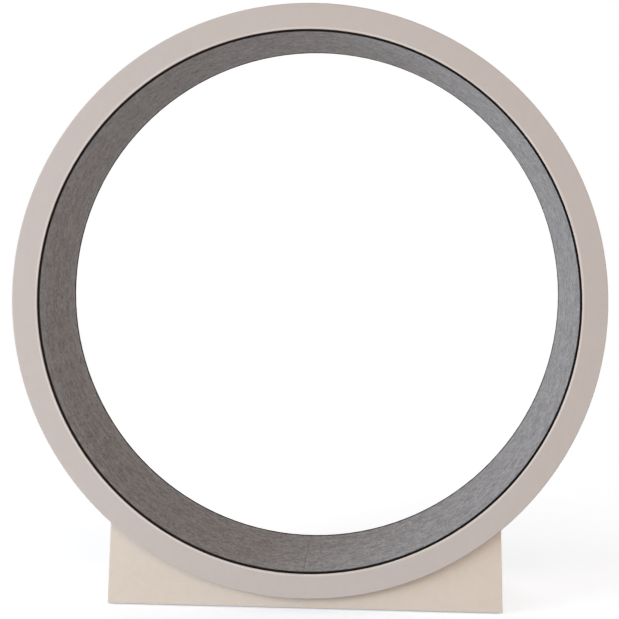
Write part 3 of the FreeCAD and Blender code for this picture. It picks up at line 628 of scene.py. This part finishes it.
def moulded(name, colour, roughness):
    """Moulded plastic, with faint flow marks and the fine grain of its mould."""
    material, tree, shader = new_material(name, IOR=1.53, Subsurface_Weight=0.05, Subsurface_Scale=0.002)
    place = own_place(tree)
    grain = speckle(tree, place, scale=900)
    flow = ranged(tree, speckle(tree, place, scale=50), 0.35, 0.7)
    feed(tree, shader, blended(tree, flow, colour, toned(colour, 0.9)),
         ranged(tree, grain, *NOISE_MIDDLE, *roughness), height=grain, depth=MOULD_GRAIN)
    return material


hub_nylon = moulded("hub_nylon", NYLON, roughness=(0.40, 0.52))
tyre_rubber = rubber("tyre_rubber", TYRE_GREY, roughness=(0.60, 0.75), shine=0.4, dusty=0.3)
finish(hub_nylon, *at_stations("roller_hub"))
finish(tyre_rubber, *at_stations("roller_tyre"))


# ---- Pads ----
# White nylon glide pads on the panels, which keep the wheel from drifting sideways, and black foam pads
# under the floor board.

GLIDE_WHITE = (0.80, 0.79, 0.75, 1)
FOAM_BLACK = (0.020, 0.020, 0.020, 1)

glide_nylon = moulded("glide_nylon", GLIDE_WHITE, roughness=(0.30, 0.42))
foot_foam = rubber("foot_rubber", FOAM_BLACK, roughness=(0.75, 0.9), shine=0.2, dusty=0.3)
finish(glide_nylon, "glide_pads")
finish(foot_foam, "foot_pads")


# ---- Studio ----
# A pale floor that fades into a white surround. The main light is a wide window-like lamp on the left, at
# the height of the wheel. Weaker lamps stand over the camera, behind and on the right, and the ambient
# light is warm.

FLOOR_RADIUS = 2.2
FLOOR_CORNERS = 96
FLOOR_FADE = (0.9, 2.0)
FLOOR_TONE = (0.90, 0.90, 0.92, 1)
FLOOR_LIFT = (0.78, 0.905, 1.0, 1)
FLOOR_LIFT_STRENGTH = 0.41
AMBIENT = (1.0, 0.81, 0.685, 1)
AMBIENT_STRENGTH = 0.45
LAMP_TARGET = (0, 0, 0.5)


def white_floor():
    """Matt and pale. What the camera sees is lifted to white where no shadow falls."""
    material = bpy.data.materials.new("studio_floor")
    material.use_nodes = True
    tree = material.node_tree
    tree.nodes.clear()
    seen = add(tree, "ShaderNodeLightPath").outputs["Is Camera Ray"]
    strength = maths(tree, "MULTIPLY", seen, FLOOR_LIFT_STRENGTH)
    lift = add(tree, "ShaderNodeEmission", {"Color": FLOOR_LIFT, "Strength": strength})
    matt = add(tree, "ShaderNodeBsdfDiffuse", {"Color": FLOOR_TONE})
    both = add(tree, "ShaderNodeAddShader", {0: matt.outputs[0], 1: lift.outputs[0]})
    away = vectors(tree, "DISTANCE", own_place(tree), (0, 0, 0))["Value"]
    clear = add(tree, "ShaderNodeBsdfTransparent")
    fade = ranged(tree, away, *FLOOR_FADE)
    faded = add(tree, "ShaderNodeMixShader", {0: fade, 1: both.outputs[0], 2: clear.outputs[0]})
    add(tree, "ShaderNodeOutputMaterial", {"Surface": faded.outputs[0]})
    return material


def studio_floor():
    """A flat disc under the wheel."""
    turns = [2 * math.pi * corner / FLOOR_CORNERS for corner in range(FLOOR_CORNERS)]
    corners = [(math.cos(turn) * FLOOR_RADIUS, math.sin(turn) * FLOOR_RADIUS, 0) for turn in turns]
    mesh = bpy.data.meshes.new("studio_floor")
    mesh.from_pydata(corners, [], [range(FLOOR_CORNERS)])
    mesh.materials.append(white_floor())
    floor = bpy.data.objects.new("studio_floor", mesh)
    bpy.context.scene.collection.objects.link(floor)


def soft_lamp(name, place, size, power, colour):
    """A rectangular lamp, width by height, turned towards the wheel. Gloss shows the surround instead."""
    lamp = bpy.data.lights.new(name, "AREA")
    lamp.shape = "RECTANGLE"
    lamp.size, lamp.size_y = size
    lamp.energy = power
    lamp.color = colour
    holder = bpy.data.objects.new(name, lamp)
    holder.location = place
    holder.rotation_euler = (Vector(LAMP_TARGET) - Vector(place)).to_track_quat("-Z", "Y").to_euler()
    holder.visible_camera = False
    holder.visible_glossy = False
    bpy.context.scene.collection.objects.link(holder)


def white_surround():
    """Plain white to the eye and in reflections, and a dimmer ambient light on everything else."""
    world = bpy.data.worlds.new("white_surround")
    world.use_nodes = True
    bpy.context.scene.world = world
    tree = world.node_tree
    tree.nodes.clear()
    ray = add(tree, "ShaderNodeLightPath").outputs
    mirrored = maths(tree, "MAXIMUM", ray["Is Glossy Ray"], ray["Is Transmission Ray"])
    white = add(tree, "ShaderNodeBackground", {"Color": (1, 1, 1, 1), "Strength": 1.0})
    ambient = add(tree, "ShaderNodeBackground", {"Color": AMBIENT, "Strength": AMBIENT_STRENGTH})
    seen = maths(tree, "MAXIMUM", ray["Is Camera Ray"], mirrored)
    shown = add(tree, "ShaderNodeMixShader", {0: seen, 1: ambient.outputs[0], 2: white.outputs[0]})
    add(tree, "ShaderNodeOutputWorld", {"Surface": shown.outputs[0]})


studio_floor()
white_surround()
soft_lamp("window_lamp", place=(-3.4, -2.4, 1.02), size=(3.0, 1.9), power=117, colour=(0.83, 0.94, 1.04))
soft_lamp("front_lamp", place=(0.45, -3.4, 1.7), size=(2.4, 1.8), power=32, colour=(1.0, 0.90, 0.78))
soft_lamp("back_lamp", place=(-0.9, 3.3, 0.6), size=(2.6, 1.2), power=68, colour=(0.91, 0.98, 1.0))
soft_lamp("side_lamp", place=(3.4, 0.0, 0.9), size=(0.8, 1.6), power=38, colour=(0.88, 0.96, 1.0))


# ---- Camera ----
# As the photograph was taken: from a little right of the middle and just above the axle, level but for a
# slight tilt, from about 2.5 m away.

CAMERA_PLACE = (0.118, -2.530, 0.646)
CAMERA_YAW = math.radians(2.74)
CAMERA_PITCH = math.radians(-3.18)
CAMERA_ROLL = math.radians(0.76)
CAMERA_LENS = 82.93

forward = Vector((
    -math.sin(CAMERA_YAW) * math.cos(CAMERA_PITCH),
    math.cos(CAMERA_YAW) * math.cos(CAMERA_PITCH),
    math.sin(CAMERA_PITCH),
))
level = Vector((math.cos(CAMERA_YAW), math.sin(CAMERA_YAW), 0))
right = level * math.cos(CAMERA_ROLL) + level.cross(forward) * math.sin(CAMERA_ROLL)
turned = Matrix((right, right.cross(forward), -forward)).transposed()
camera = bpy.data.objects.new("camera", bpy.data.cameras.new("camera"))
camera.data.lens = CAMERA_LENS
camera.matrix_world = Matrix.Translation(CAMERA_PLACE) @ turned.to_4x4()
bpy.context.scene.collection.objects.link(camera)
bpy.context.scene.camera = camera
bpy.context.scene.view_settings.view_transform = "Standard"
